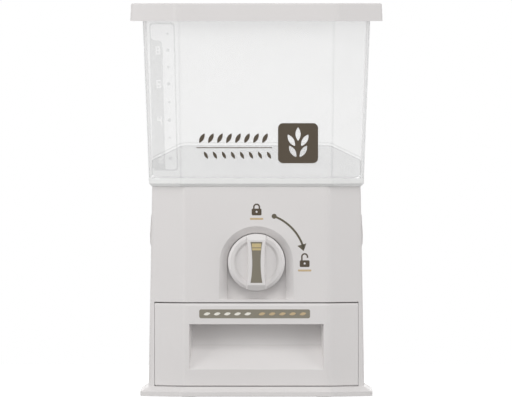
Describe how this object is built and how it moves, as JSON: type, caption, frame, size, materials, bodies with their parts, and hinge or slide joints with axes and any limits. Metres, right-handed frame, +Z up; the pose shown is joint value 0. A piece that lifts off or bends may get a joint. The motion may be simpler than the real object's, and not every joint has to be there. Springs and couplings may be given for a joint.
{
  "type": "rice storage bin",
  "caption": "Kitchen rice bin: clear tapered hopper with lift-off lid on a grey base, with a quarter-turn metering knob and a pull-out drawer.",
  "frame": {"origin": "on the floor under the middle of the bin", "axes": "+Z up, -Y towards the front with the knob and drawer, +X to the right seen from the front"},
  "size_m": [0.2624, 0.3308, 0.409],
  "materials": {
    "body_plastic": "fine satin moulded plastic, warm light grey",
    "clear_plastic": "clear, slightly frosted moulded plastic",
    "knob_plastic": "satin moulded plastic",
    "inlay_plastic": "matt olive strip",
    "inner_plastic": "natural white moulded plastic",
    "bearing_plastic": "white acetal",
    "silicone": "translucent white silicone",
    "foot_rubber": "dark matt rubber",
    "screw_steel": "zinc-plated steel"
  },
  "bodies": {
    "base": {"base_shell": "body_plastic", "base_plate": "body_plastic", "base_screws": "screw_steel", "rubber_feet": "foot_rubber", "left_grip": "body_plastic", "right_grip": "body_plastic", "drum_housing": "inner_plastic", "housing_screws": "screw_steel", "end_cover": "inner_plastic", "end_cover_screws": "screw_steel", "inlet_seal": "silicone", "front_bush": "bearing_plastic", "rear_bush": "bearing_plastic"},
    "hopper": {"hopper": "clear_plastic"},
    "lid": {"lid": "body_plastic", "lid_seal": "silicone"},
    "rotor": {"knob": "knob_plastic", "knob_inlay": "inlay_plastic", "knob_screw": "screw_steel", "drive_shaft": "bearing_plastic", "metering_drum": "inner_plastic", "drum_end_cap": "inner_plastic"},
    "drawer": {"drawer_front": "body_plastic", "drawer_tray": "inner_plastic", "drawer_screws": "screw_steel"}
  },
  "joints": [
    {"name": "hopper_lift", "type": "slide", "parent": "base", "child": "hopper", "axis": [0, 0, 1], "range_m": [0, 0.08]},
    {"name": "lid_lift", "type": "slide", "parent": "hopper", "child": "lid", "axis": [0, 0, 1], "range_m": [0, 0.06]},
    {"name": "knob_turn", "type": "hinge", "parent": "base", "child": "rotor", "pos_m": [0, -0.14, 0.1399], "axis": [0, 1, 0], "range_deg": [0, 90]},
    {"name": "drawer_slide", "type": "slide", "parent": "base", "child": "drawer", "axis": [0, -1, 0], "range_m": [0, 0.2]}
  ]
}
